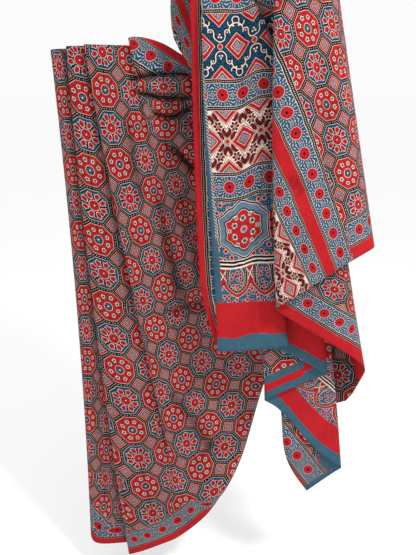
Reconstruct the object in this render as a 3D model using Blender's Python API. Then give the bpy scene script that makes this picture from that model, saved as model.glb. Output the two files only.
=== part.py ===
# One ajrakh cloth, hung by its top edge and draped round itself, as one solid sheet.
# Metres, +Z up, the front faces -Y, +X right. The origin is the middle of the top edge it hangs by.
import bpy
import numpy as np

thickness = 0.0015       # the sheet of the solid, a cotton cloth with its hems and its print
foldLip = 0.009         # how far a fold's two faces lie from its edge where it starts to turn
openedBy = 0.24         # part of the way down the end panel by which its folds are fully open
apartBy = 0.04          # part of the way down by which its layers have come apart, before they open
plainStart = 0.046      # x of the right end of the plain line it starts from
plainLift = 0.012       # how high that line stands
cornerBow = 0.022       # how far the other long edge bows to the left near the cloth's lowest corner
bowFrom = 0.85          # part of the way down from which it bows

# A row is one fold line from the cloth's first end on: its top, its middle (half way down) and its hem.
foldColumns = ("topX", "topY", "topZ", "midX", "midY", "hemX", "hemY", "hemZ")
fallLines = {
    "first end":         (-0.285,  0.132, -0.175, -0.245,  0.160, -0.215,  0.158, -1.150),
    "behind left":       (-0.325,  0.132, -0.172, -0.295,  0.160, -0.285,  0.158, -1.170),
    "left fold back":    (-0.366,  0.131, -0.168, -0.344,  0.157, -0.338,  0.157, -1.190),
    "left fold":         (-0.373,  0.126, -0.165, -0.350,  0.144, -0.344,  0.144, -1.210),
    "left fold front":   (-0.366,  0.121, -0.163, -0.344,  0.130, -0.338,  0.130, -1.232),
    "left panel":        (-0.345,  0.120, -0.162, -0.322,  0.124, -0.305,  0.127, -1.233),
    "left panel in":     (-0.312,  0.120, -0.161, -0.284,  0.130, -0.236,  0.130, -1.226),
    "first turn":        (-0.308,  0.116, -0.161, -0.280,  0.124, -0.232,  0.124, -1.228),
    "first under":       (-0.312,  0.112, -0.160, -0.284,  0.118, -0.236,  0.118, -1.234),
    "first edge back":   (-0.334,  0.112, -0.159, -0.301,  0.118, -0.248,  0.118, -1.246),
    "first edge":        (-0.340,  0.108, -0.159, -0.308,  0.111, -0.255,  0.112, -1.248),
    "first edge front":  (-0.334,  0.104, -0.158, -0.301,  0.104, -0.248,  0.105, -1.243),
    "second panel":      (-0.315,  0.103, -0.158, -0.262,  0.096, -0.212,  0.098, -1.227),
    "second panel in":   (-0.275,  0.104, -0.158, -0.190,  0.108, -0.165,  0.101, -1.208),
    "second turn":       (-0.271,  0.100, -0.158, -0.186,  0.102, -0.152,  0.100, -1.202),
    "second under":      (-0.275,  0.096, -0.158, -0.190,  0.095, -0.140,  0.099, -1.194),
    "second edge back":  (-0.298,  0.096, -0.157, -0.214,  0.094, -0.128,  0.098, -1.184),
    "second edge":       (-0.304,  0.092, -0.156, -0.221,  0.087, -0.115,  0.097, -1.173),
    "second edge front": (-0.298,  0.088, -0.156, -0.213,  0.079, -0.101,  0.096, -1.160),
    "third panel":       (-0.262,  0.087, -0.157, -0.182,  0.074, -0.080,  0.096, -1.140),
    "third panel in":    (-0.214,  0.093, -0.158, -0.150,  0.078, -0.062,  0.097, -1.115),
    "third turn":        (-0.202,  0.087, -0.156, -0.140,  0.079, -0.052,  0.098, -1.098),
    "flap under":        (-0.210,  0.080, -0.152, -0.133,  0.080, -0.045,  0.098, -1.088),
    "flap edge":         (-0.224,  0.073, -0.147, -0.126,  0.081, -0.038,  0.098, -1.078),
    "flap":              (-0.206,  0.067, -0.142, -0.104,  0.085, -0.022,  0.098, -1.048),
    "flap middle":       (-0.165,  0.077, -0.150, -0.072,  0.088, -0.001,  0.098, -0.995),
    "flap low":          (-0.135,  0.078, -0.166, -0.052,  0.090,  0.010,  0.097, -0.950),
    "gather":            (-0.105,  0.082, -0.188, -0.034,  0.090,  0.022,  0.095, -0.900),
    "behind front":      (-0.075,  0.082, -0.150, -0.012,  0.088,  0.038,  0.092, -0.830),
    "back left":         (-0.040,  0.080, -0.060,  0.020,  0.084,  0.070,  0.088, -0.740),
    "back":              ( 0.010,  0.076, -0.010,  0.068,  0.080,  0.115,  0.084, -0.650),
    "back right":        ( 0.070,  0.074,  0.000,  0.120,  0.078,  0.165,  0.080, -0.570),
}
wrapLines = {
    "right fold back":   ( 0.112,  0.066,  0.000,  0.160,  0.070,  0.205,  0.070, -0.515),
    "right fold":        ( 0.126,  0.020,  0.000,  0.176,  0.015,  0.222,  0.010, -0.508),
    "right fold front":  ( 0.124, -0.045,  0.000,  0.172, -0.052,  0.222, -0.060, -0.500),
    "front right":       ( 0.106, -0.072,  0.000,  0.146, -0.080,  0.196, -0.083, -0.507),
    "front middle":      ( 0.078, -0.078,  0.000,  0.107, -0.086,  0.138, -0.090, -0.540),
    "front left":        ( 0.050, -0.080,  0.000,  0.062, -0.086,  0.085, -0.090, -0.580),
    "tuck front":        ( 0.036, -0.078,  0.000,  0.037, -0.082,  0.050, -0.084, -0.603),
    "tuck":              ( 0.030, -0.068,  0.000,  0.030, -0.071,  0.044, -0.071, -0.611),
    "tuck back":         ( 0.036, -0.058,  0.000,  0.037, -0.060,  0.052, -0.059, -0.622),
    "under left":        ( 0.056, -0.055,  0.000,  0.070, -0.058,  0.092, -0.060, -0.647),
    "under middle":      ( 0.078, -0.054,  0.000,  0.108, -0.057,  0.140, -0.062, -0.676),
    "under right":       ( 0.096, -0.050,  0.000,  0.134, -0.053,  0.188, -0.058, -0.707),
    "second fold front": ( 0.107, -0.036,  0.000,  0.150, -0.036,  0.219, -0.040, -0.735),
    "second fold":       ( 0.110,  0.005,  0.000,  0.155,  0.005,  0.228,  0.005, -0.765),
    "second fold back":  ( 0.106,  0.040,  0.000,  0.150,  0.043,  0.228,  0.044, -0.797),
}
# The cloth is drawn up behind the front panel from here: the hem swings up to the top left.
liftLines = {
    "lift low":          ( 0.098,  0.047,  0.000,  0.128,  0.049,  0.196,  0.052, -0.880),
    "lift right":        ( 0.088,  0.048,  0.000,  0.098,  0.050,  0.100,  0.053, -0.780),
    "lift middle":       ( 0.080,  0.048,  0.000,  0.054,  0.050,  0.000,  0.053, -0.600),
    "lift left":         ( 0.072,  0.048,  0.000,  0.015,  0.050, -0.065,  0.054, -0.360),
    "strip right":       ( 0.064,  0.047,  0.002, -0.010,  0.050, -0.100,  0.054, -0.185),
    "strip left":        ( 0.058,  0.046,  0.005, -0.032,  0.050, -0.142,  0.054, -0.165),
    "strip top":         ( 0.054,  0.042,  0.012, -0.036,  0.045, -0.143,  0.047, -0.050),
}
# The end panel hangs from the top: a row is one fold across it, from the long edge at its left on.
# turn is 1 where the row is a fold's edge on the right and -1 on the left; then x at the top, half way
# down, low down and at the hem, the depth of the layer, and the hem's z.
endColumns = ("turn", "topX", "midX", "lowX", "hemX", "y", "hemZ")
endFolds = {
    "long edge":        ( 0, -0.106, -0.100, -0.090, -0.062, -0.01, -0.700),
    "edge strip":       ( 0, -0.088, -0.078, -0.068, -0.052, -0.01, -0.704),
    "pleat turn":       ( 1, -0.072, -0.058, -0.045, -0.038, -0.0155, -0.705),
    "pleat under":      ( 0, -0.078, -0.064, -0.050, -0.044, -0.021, -0.705),
    "pleat edge":       (-1, -0.096, -0.082, -0.064, -0.060, -0.0265, -0.706),
    "panel left":       ( 0, -0.086, -0.072, -0.052, -0.050, -0.032, -0.707),
    "panel":            ( 0, -0.048, -0.040, -0.018, -0.018, -0.034, -0.706),
    "panel middle":     ( 0, -0.008, -0.002, 0.018, 0.020, -0.034, -0.703),
    "panel right":      ( 0, 0.032, 0.030, 0.046, 0.058, -0.033, -0.699),
    "panel edge":       ( 1, 0.050, 0.048, 0.062, 0.078, -0.0275, -0.698),
    "panel turned":     ( 0, 0.034, 0.032, 0.046, 0.062, -0.022, -0.699),
    "back of panel":    ( 0, -0.010, -0.004, 0.010, 0.020, -0.022, -0.700),
    "inner turn":       (-1, -0.028, -0.020, -0.006, 0.004, -0.016, -0.700),
    "next pleat left":  ( 0, -0.010, -0.002, 0.014, 0.024, -0.01, -0.700),
    "next pleat":       ( 0, 0.050, 0.055, 0.078, 0.088, -0.01, -0.722),
    "next pleat right": ( 0, 0.094, 0.102, 0.128, 0.140, -0.01, -0.756),
    "next pleat edge":  ( 1, 0.104, 0.114, 0.144, 0.157, -0.004, -0.765),
    "strip layer":      ( 0, 0.080, 0.090, 0.112, 0.116, 0.002, -0.782),
    "strip in":         ( 0, 0.010, 0.022, 0.048, 0.052, 0.002, -0.812),
    "strip edge":       (-1, -0.010, 0.004, 0.028, 0.033, 0.008, -0.824),
    "corner left":      ( 0, 0.010, 0.024, 0.062, 0.073, 0.014, -0.848),
    "corner":           ( 0, 0.070, 0.090, 0.128, 0.138, 0.014, -0.937),
    "corner edge":      ( 1, 0.102, 0.130, 0.182, 0.198, 0.02, -0.978),
    "other long edge":  ( 0, 0.010, 0.024, 0.077, 0.128, 0.026, -1.034),
}
# parts of the way down at which the net has a row
endRows = (0.0, 0.05, 0.11, 0.18, 0.26, 0.38, 0.52, 0.66, 0.80, 0.87, 0.92, 0.96, 1.0)


def dip(top, mid, hem, part):
    # the parabola through top, mid and hem, at 0, a half and 1
    return top * (1 - part) * (1 - 2 * part) + 4 * mid * part * (1 - part) + hem * part * (2 * part - 1)


def hangingLine(row):
    # one fold line from its top down to its hem, as many rows as the end panel has lines
    r = dict(zip(foldColumns, row))
    part = np.linspace(0.0, 1.0, len(endLines()))
    return np.stack([dip(r["topX"], r["midX"], r["hemX"], part), dip(r["topY"], r["midY"], r["hemY"], part),
                     r["topZ"] + (r["hemZ"] - r["topZ"]) * part], axis=-1)


def endLines():
    # the end panel's rows from the other long edge back to the first; a fold's edge is three lines close by
    f = np.array([endFolds[name] for name in endFolds])[::-1]
    lines = []
    for before, line, after in zip(f[[0, *range(len(f) - 1)]], f, f[[*range(1, len(f)), -1]]):
        if line[0]:
            for near, depth in ((before, -1), (line, 0), (after, 1)):
                side = line.copy()
                side[1:5] -= abs(depth) * line[0] * foldLip
                side[5] = near[5]
                side[6] += abs(depth) * (near[6] - line[6]) * min(1, foldLip / abs(near[4] - line[4] or 1))
                lines.append(side)
        else:
            lines.append(line)
    return np.array(lines)


def endRow(part, f):
    # the end panel part of the way down; its folds open out from a plain slanting line at the top
    x = np.array([np.interp(part, (0.0, 0.5, 0.85, 1.0), line[1:5]) for line in f])
    bowed = max(0.0, (part - bowFrom) / (1 - bowFrom))
    x[0] -= 4 * cornerBow * bowed * (1 - bowed)
    opened, apart = np.interp(part, (apartBy, openedBy), (0.0, 1.0)), min(1.0, part / apartBy)
    plainX = np.linspace(plainStart, f[-1, 1], len(f))
    plainY = np.linspace(f[0, 5], f[-1, 5], len(f))
    z = f[:, 6] * part + plainLift * (1 - opened)
    return np.stack([plainX + (x - plainX) * opened, plainY + (f[:, 5] - plainY) * apart, z], axis=-1)


def spline(points, places):
    # the smooth curve through a net's rows: the uniform cubic B-spline, from the first row to the last
    padded = np.concatenate([2 * points[:1] - points[1:2], points, 2 * points[-1:] - points[-2:-1],
                             3 * points[-1:] - 2 * points[-2:-1]])
    whole = np.minimum(places.astype(int), len(points) - 1)
    f = (places - whole).reshape((-1,) + (1,) * (points.ndim - 1))
    return (padded[whole] * (1 - f) ** 3 + padded[whole + 1] * (3 * f ** 3 - 6 * f ** 2 + 4)
            + padded[whole + 2] * (-3 * f ** 3 + 3 * f ** 2 + 3 * f + 1) + padded[whole + 3] * f ** 3) / 6


def clothSkin(net, along, across):
    # the middle of the sheet and its normals, from the smooth surface's own slopes
    def surface(u, v):
        return spline(spline(net, u).swapaxes(0, 1), v).swapaxes(0, 1)
    step = 0.05
    lowU, highU = np.maximum(along - step, 0), np.minimum(along + step, net.shape[0] - 1)
    lowV, highV = np.maximum(across - step, 0), np.minimum(across + step, net.shape[1] - 1)
    normal = np.cross(surface(highU, across) - surface(lowU, across),
                      surface(along, highV) - surface(along, lowV))
    return surface(along, across), normal / np.maximum(np.linalg.norm(normal, axis=-1, keepdims=True), 1e-12)


def sheet(middle, normal, thick):
    # two skins half a thickness either side of the middle, and a rim that closes them
    front, back = middle + normal * thick / 2, middle - normal * thick / 2
    points = np.concatenate([front.reshape(-1, 3), back.reshape(-1, 3)])
    m, n = middle.shape[:2]
    at = np.arange(m * n).reshape(m, n)
    a, b, c, d = at[:-1, :-1].ravel(), at[1:, :-1].ravel(), at[1:, 1:].ravel(), at[:-1, 1:].ravel()
    skin = np.concatenate([np.stack([a, b, c], axis=-1), np.stack([a, c, d], axis=-1)])
    ring = np.concatenate([at[0, :-1], at[:-1, -1], at[-1, :0:-1], at[:0:-1, 0]])
    after = np.roll(ring, -1)
    rim = np.concatenate([np.stack([ring, after, after + m * n], axis=-1),
                          np.stack([ring, after + m * n, ring + m * n], axis=-1)])
    return points, np.concatenate([skin, skin[:, ::-1] + m * n, rim])


for thing in list(bpy.data.objects):
    bpy.data.objects.remove(thing, do_unlink=True)

tables = (fallLines, wrapLines, liftLines)
net = np.stack([hangingLine(row) for table in tables for row in table.values()]
               + [endRow(part, endLines()) for part in endRows])
along = np.arange(net.shape[0])
across = np.arange(net.shape[1])
points, faces = sheet(*clothSkin(net, along, across), thickness)
mesh = bpy.data.meshes.new("cloth")
mesh.from_pydata(points.tolist(), [], faces.tolist())
mesh.update()
cotton = bpy.data.materials.new("ajrakh_cotton")
cotton.use_nodes = True
shader = cotton.node_tree.nodes["Principled BSDF"]
shader.inputs["Base Color"].default_value = (0.30, 0.05, 0.05, 1.0)
shader.inputs["Roughness"].default_value = 0.85
mesh.materials.append(cotton)
cloth = bpy.data.objects.new("cloth", mesh)
bpy.context.scene.collection.objects.link(cloth)
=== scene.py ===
# The looks of the ajrakh cloth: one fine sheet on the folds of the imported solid, with its block print.
# Metres, +Z up, the front faces -Y.
import bpy
import numpy as np
import math
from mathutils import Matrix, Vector


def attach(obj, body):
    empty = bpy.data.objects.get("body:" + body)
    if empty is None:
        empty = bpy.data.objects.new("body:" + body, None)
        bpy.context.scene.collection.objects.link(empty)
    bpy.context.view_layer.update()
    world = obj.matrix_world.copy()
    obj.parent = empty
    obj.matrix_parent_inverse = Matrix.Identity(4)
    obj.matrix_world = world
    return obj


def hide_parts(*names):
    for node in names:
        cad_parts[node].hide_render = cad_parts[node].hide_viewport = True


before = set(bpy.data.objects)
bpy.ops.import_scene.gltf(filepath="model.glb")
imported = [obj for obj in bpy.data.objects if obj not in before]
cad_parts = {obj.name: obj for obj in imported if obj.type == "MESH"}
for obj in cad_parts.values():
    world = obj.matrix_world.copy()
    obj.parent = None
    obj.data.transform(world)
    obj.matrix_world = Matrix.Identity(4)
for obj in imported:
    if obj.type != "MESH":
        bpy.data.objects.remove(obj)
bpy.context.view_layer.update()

# the cloth's folds
cloth = {
    "thickness": 0.0009,
    "stepsAlong": (5, 3),     # grid steps between two fold lines, along the cloth: in sight, and behind
    "stepsAcross": (6, 3),    # and across it: near the gathered edge, and from there on
    "gatheredColumns": 13,    # the first columns of the net, whose steps across are the finer ones
    "foldLip": 0.009,         # how far a fold's two faces lie from its edge where it starts to turn
    "openedBy": 0.24,         # part of the way down the end panel by which its folds are fully open
    "apartBy": 0.04,          # part of the way down by which its layers have come apart
    "plainStart": 0.046,      # x of the right end of the plain line the end panel starts from
    "plainLift": 0.012,       # how high that line stands
    "cornerBow": 0.022,       # how far the lowest corner's free edge bows to the left
    "bowFrom": 0.85,          # part of the way down from which it bows
    "fallShade": 0.14,        # the left fall lies back in the front's shade
    "insideShade": 0.5,       # and the inside of the lower right fold lies in its own
    "pleatShade": 0.014,      # how far the shade of a pleat's edge reaches
    "darkTrough": 0.014,      # a trough this deep shades the print fully
    "width": 1.12,            # the flat cloth, edge to edge
    "length": 1.65,           # and as long as the part that is built
}
# A row is one fold line from the cloth's first end on: its top, its middle (half way down) and its hem.
foldColumns = ("topX", "topY", "topZ", "midX", "midY", "hemX", "hemY", "hemZ")
fallLines = {
    "first end":         (-0.285,  0.132, -0.175, -0.245,  0.160, -0.215,  0.158, -1.150),
    "behind left":       (-0.325,  0.132, -0.172, -0.295,  0.160, -0.285,  0.158, -1.170),
    "left fold back":    (-0.366,  0.131, -0.168, -0.344,  0.157, -0.338,  0.157, -1.190),
    "left fold":         (-0.373,  0.126, -0.165, -0.350,  0.144, -0.344,  0.144, -1.210),
    "left fold front":   (-0.366,  0.121, -0.163, -0.344,  0.130, -0.338,  0.130, -1.232),
    "left panel":        (-0.345,  0.120, -0.162, -0.322,  0.124, -0.305,  0.127, -1.233),
    "left panel in":     (-0.312,  0.120, -0.161, -0.284,  0.130, -0.236,  0.130, -1.226),
    "first turn":        (-0.308,  0.116, -0.161, -0.280,  0.124, -0.232,  0.124, -1.228),
    "first under":       (-0.312,  0.112, -0.160, -0.284,  0.118, -0.236,  0.118, -1.234),
    "first edge back":   (-0.334,  0.112, -0.159, -0.301,  0.118, -0.248,  0.118, -1.246),
    "first edge":        (-0.340,  0.108, -0.159, -0.308,  0.111, -0.255,  0.112, -1.248),
    "first edge front":  (-0.334,  0.104, -0.158, -0.301,  0.104, -0.248,  0.105, -1.243),
    "second panel":      (-0.315,  0.103, -0.158, -0.262,  0.096, -0.212,  0.098, -1.227),
    "second panel in":   (-0.275,  0.104, -0.158, -0.190,  0.108, -0.165,  0.101, -1.208),
    "second turn":       (-0.271,  0.100, -0.158, -0.186,  0.102, -0.152,  0.100, -1.202),
    "second under":      (-0.275,  0.096, -0.158, -0.190,  0.095, -0.140,  0.099, -1.194),
    "second edge back":  (-0.298,  0.096, -0.157, -0.214,  0.094, -0.128,  0.098, -1.184),
    "second edge":       (-0.304,  0.092, -0.156, -0.221,  0.087, -0.115,  0.097, -1.173),
    "second edge front": (-0.298,  0.088, -0.156, -0.213,  0.079, -0.101,  0.096, -1.160),
    "third panel":       (-0.262,  0.087, -0.157, -0.182,  0.074, -0.080,  0.096, -1.140),
    "third panel in":    (-0.214,  0.093, -0.158, -0.150,  0.078, -0.062,  0.097, -1.115),
    "third turn":        (-0.202,  0.087, -0.156, -0.140,  0.079, -0.052,  0.098, -1.098),
    "flap under":        (-0.210,  0.080, -0.152, -0.133,  0.080, -0.045,  0.098, -1.088),
    "flap edge":         (-0.224,  0.073, -0.147, -0.126,  0.081, -0.038,  0.098, -1.078),
    "flap":              (-0.206,  0.067, -0.142, -0.104,  0.085, -0.022,  0.098, -1.048),
    "flap middle":       (-0.165,  0.077, -0.150, -0.072,  0.088, -0.001,  0.098, -0.995),
    "flap low":          (-0.135,  0.078, -0.166, -0.052,  0.090,  0.010,  0.097, -0.950),
    "gather":            (-0.105,  0.082, -0.188, -0.034,  0.090,  0.022,  0.095, -0.900),
    "behind front":      (-0.075,  0.082, -0.150, -0.012,  0.088,  0.038,  0.092, -0.830),
    "back left":         (-0.040,  0.080, -0.060,  0.020,  0.084,  0.070,  0.088, -0.740),
    "back":              ( 0.010,  0.076, -0.010,  0.068,  0.080,  0.115,  0.084, -0.650),
    "back right":        ( 0.070,  0.074,  0.000,  0.120,  0.078,  0.165,  0.080, -0.570),
}
wrapLines = {
    "right fold back":   ( 0.112,  0.066,  0.000,  0.160,  0.070,  0.205,  0.070, -0.515),
    "right fold":        ( 0.126,  0.020,  0.000,  0.176,  0.015,  0.222,  0.010, -0.508),
    "right fold front":  ( 0.124, -0.045,  0.000,  0.172, -0.052,  0.222, -0.060, -0.500),
    "front right":       ( 0.106, -0.072,  0.000,  0.146, -0.080,  0.196, -0.083, -0.507),
    "front middle":      ( 0.078, -0.078,  0.000,  0.107, -0.086,  0.138, -0.090, -0.540),
    "front left":        ( 0.050, -0.080,  0.000,  0.062, -0.086,  0.085, -0.090, -0.580),
    "tuck front":        ( 0.036, -0.078,  0.000,  0.037, -0.082,  0.050, -0.084, -0.603),
    "tuck":              ( 0.030, -0.068,  0.000,  0.030, -0.071,  0.044, -0.071, -0.611),
    "tuck back":         ( 0.036, -0.058,  0.000,  0.037, -0.060,  0.052, -0.059, -0.622),
    "under left":        ( 0.056, -0.055,  0.000,  0.070, -0.058,  0.092, -0.060, -0.647),
    "under middle":      ( 0.078, -0.054,  0.000,  0.108, -0.057,  0.140, -0.062, -0.676),
    "under right":       ( 0.096, -0.050,  0.000,  0.134, -0.053,  0.188, -0.058, -0.707),
    "second fold front": ( 0.107, -0.036,  0.000,  0.150, -0.036,  0.219, -0.040, -0.735),
    "second fold":       ( 0.110,  0.005,  0.000,  0.155,  0.005,  0.228,  0.005, -0.765),
    "second fold back":  ( 0.106,  0.040,  0.000,  0.150,  0.043,  0.228,  0.044, -0.797),
}
# The cloth is drawn up behind the front panel from here: the hem swings up to the top left.
liftLines = {
    "lift low":          ( 0.098,  0.047,  0.000,  0.128,  0.049,  0.196,  0.052, -0.880),
    "lift right":        ( 0.088,  0.048,  0.000,  0.098,  0.050,  0.100,  0.053, -0.780),
    "lift middle":       ( 0.080,  0.048,  0.000,  0.054,  0.050,  0.000,  0.053, -0.600),
    "lift left":         ( 0.072,  0.048,  0.000,  0.015,  0.050, -0.065,  0.054, -0.360),
    "strip right":       ( 0.064,  0.047,  0.002, -0.010,  0.050, -0.100,  0.054, -0.185),
    "strip left":        ( 0.058,  0.046,  0.005, -0.032,  0.050, -0.142,  0.054, -0.165),
    "strip top":         ( 0.054,  0.042,  0.012, -0.036,  0.045, -0.143,  0.047, -0.050),
}
# The end panel hangs from the top: a row is one line down it, from the long edge at its left on.
# turn is 1 where the row is a fold's edge on the right and -1 on the left; then x at the top, half way
# down, low down and at the hem, the depth of the layer, and the hem's z.
endColumns = ("turn", "topX", "midX", "lowX", "hemX", "y", "hemZ")
endFolds = {
    "long edge":        ( 0, -0.106, -0.100, -0.090, -0.062, -0.01, -0.700),
    "edge strip":       ( 0, -0.088, -0.078, -0.068, -0.052, -0.01, -0.704),
    "pleat turn":       ( 1, -0.072, -0.058, -0.045, -0.038, -0.0155, -0.705),
    "pleat under":      ( 0, -0.078, -0.064, -0.050, -0.044, -0.021, -0.705),
    "pleat edge":       (-1, -0.096, -0.082, -0.064, -0.060, -0.0265, -0.706),
    "panel left":       ( 0, -0.086, -0.072, -0.052, -0.050, -0.032, -0.707),
    "panel":            ( 0, -0.048, -0.040, -0.018, -0.018, -0.034, -0.706),
    "panel middle":     ( 0, -0.008, -0.002, 0.018, 0.020, -0.034, -0.703),
    "panel right":      ( 0, 0.032, 0.030, 0.046, 0.058, -0.033, -0.699),
    "panel edge":       ( 1, 0.050, 0.048, 0.062, 0.078, -0.0275, -0.698),
    "panel turned":     ( 0, 0.034, 0.032, 0.046, 0.062, -0.022, -0.699),
    "back of panel":    ( 0, -0.010, -0.004, 0.010, 0.020, -0.022, -0.700),
    "inner turn":       (-1, -0.028, -0.020, -0.006, 0.004, -0.016, -0.700),
    "next pleat left":  ( 0, -0.010, -0.002, 0.014, 0.024, -0.01, -0.700),
    "next pleat":       ( 0, 0.050, 0.055, 0.078, 0.088, -0.01, -0.722),
    "next pleat right": ( 0, 0.094, 0.102, 0.128, 0.140, -0.01, -0.756),
    "next pleat edge":  ( 1, 0.104, 0.114, 0.144, 0.157, -0.004, -0.765),
    "strip layer":      ( 0, 0.080, 0.090, 0.112, 0.116, 0.002, -0.782),
    "strip in":         ( 0, 0.010, 0.022, 0.048, 0.052, 0.002, -0.812),
    "strip edge":       (-1, -0.010, 0.004, 0.028, 0.033, 0.008, -0.824),
    "corner left":      ( 0, 0.010, 0.024, 0.062, 0.073, 0.014, -0.848),
    "corner":           ( 0, 0.070, 0.090, 0.128, 0.138, 0.014, -0.937),
    "corner edge":      ( 1, 0.102, 0.130, 0.182, 0.198, 0.02, -0.978),
    "other long edge":  ( 0, 0.010, 0.024, 0.077, 0.128, 0.026, -1.034),
}
# how far down topX, midX, lowX and hemX are, and parts of the way down at which the net has a row
endParts = (0.0, 0.5, 0.85, 1.0)
endRows = (0.0, 0.05, 0.11, 0.18, 0.26, 0.38, 0.52, 0.66, 0.80, 0.87, 0.92, 0.96, 1.0)


def parabola(top, mid, hem, part):
    # the parabola through top, mid and hem, at 0, a half and 1
    return top * (1 - part) * (1 - 2 * part) + 4 * mid * part * (1 - part) + hem * part * (2 * part - 1)


def hangingLine(row, count):
    r = dict(zip(foldColumns, row))
    part = np.linspace(0.0, 1.0, count)
    return np.stack([parabola(r["topX"], r["midX"], r["hemX"], part),
                     parabola(r["topY"], r["midY"], r["hemY"], part),
                     r["topZ"] + (r["hemZ"] - r["topZ"]) * part], axis=-1)


def endLines():
    # the end panel's lines from the other long edge back to the first; a fold's edge is three close by
    f = np.array(list(endFolds.values()))[::-1]
    turn, y, hemZ = (endColumns.index(name) for name in ("turn", "y", "hemZ"))
    across, hemX = np.s_[endColumns.index("topX"):y], endColumns.index("hemX")
    lines = []
    for before, line, after in zip(f[[0, *range(len(f) - 1)]], f, f[[*range(1, len(f)), -1]]):
        if line[turn]:
            for near, side in ((before, -1), (line, 0), (after, 1)):
                lip = line.copy()
                lip[across] -= abs(side) * line[turn] * cloth["foldLip"]
                lip[y] = near[y]
                reach = min(1, cloth["foldLip"] / abs(near[hemX] - line[hemX] or 1))
                lip[hemZ] += abs(side) * (near[hemZ] - line[hemZ]) * reach
                lines.append(lip)
        else:
            lines.append(line)
    return np.array(lines)


def endRow(part, f):
    # the end panel part of the way down; its folds open out from a plain slanting line at the top
    _, *across, y, hemZ = f.T
    x = np.array([np.interp(part, endParts, line) for line in np.transpose(across)])
    bowed = max(0.0, (part - cloth["bowFrom"]) / (1 - cloth["bowFrom"]))
    x[0] -= 4 * cloth["cornerBow"] * bowed * (1 - bowed)
    opened = np.interp(part, (cloth["apartBy"], cloth["openedBy"]), (0.0, 1.0))
    apart = min(1.0, part / cloth["apartBy"])
    plainX = np.linspace(cloth["plainStart"], across[0][-1], len(f))
    plainY = np.linspace(y[0], y[-1], len(f))
    z = hemZ * part + cloth["plainLift"] * (1 - opened)
    return np.stack([plainX + (x - plainX) * opened, plainY + (y - plainY) * apart, z], axis=-1)


def spline(points, places):
    # the smooth curve through a net's rows: the uniform cubic B-spline, from the first row to the last
    padded = np.concatenate([2 * points[:1] - points[1:2], points, 2 * points[-1:] - points[-2:-1],
                             3 * points[-1:] - 2 * points[-2:-1]])
    whole = np.minimum(places.astype(int), len(points) - 1)
    f = (places - whole).reshape((-1,) + (1,) * (points.ndim - 1))
    return (padded[whole] * (1 - f) ** 3 + padded[whole + 1] * (3 * f ** 3 - 6 * f ** 2 + 4)
            + padded[whole + 2] * (-3 * f ** 3 + 3 * f ** 2 + 3 * f + 1) + padded[whole + 3] * f ** 3) / 6


def surface(net, along, across):
    return spline(spline(net, along).swapaxes(0, 1), across).swapaxes(0, 1)


lines = endLines()
tables = (fallLines, wrapLines, liftLines)
net = np.stack([hangingLine(row, len(lines)) for table in tables for row in table.values()]
               + [endRow(part, lines) for part in endRows])
lineNames = [name for table in tables for name in table]
behind = [("first end", "left fold"), ("behind front", "right fold"), ("second fold", "strip left")]


def spaced(steps):
    # places along a net with this many steps in each of its intervals, and where each line falls
    places = np.concatenate([[0.0]] + [i + np.arange(1, count + 1) / count for i, count in enumerate(steps)])
    return places, np.concatenate([[0], np.cumsum(steps)])


hidden = {i for a, b in behind for i in range(lineNames.index(a), lineNames.index(b))}
along, rowAt = spaced([cloth["stepsAlong"][i in hidden] for i in range(len(net) - 1)])
columns = range(net.shape[1] - 1)
across, columnAt = spaced([cloth["stepsAcross"][i >= cloth["gatheredColumns"]] for i in columns])
rowOf = dict(zip(lineNames + ["end top"], rowAt.tolist()))
middle = surface(net, along, across)
print("cloth grid", middle.shape)

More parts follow.
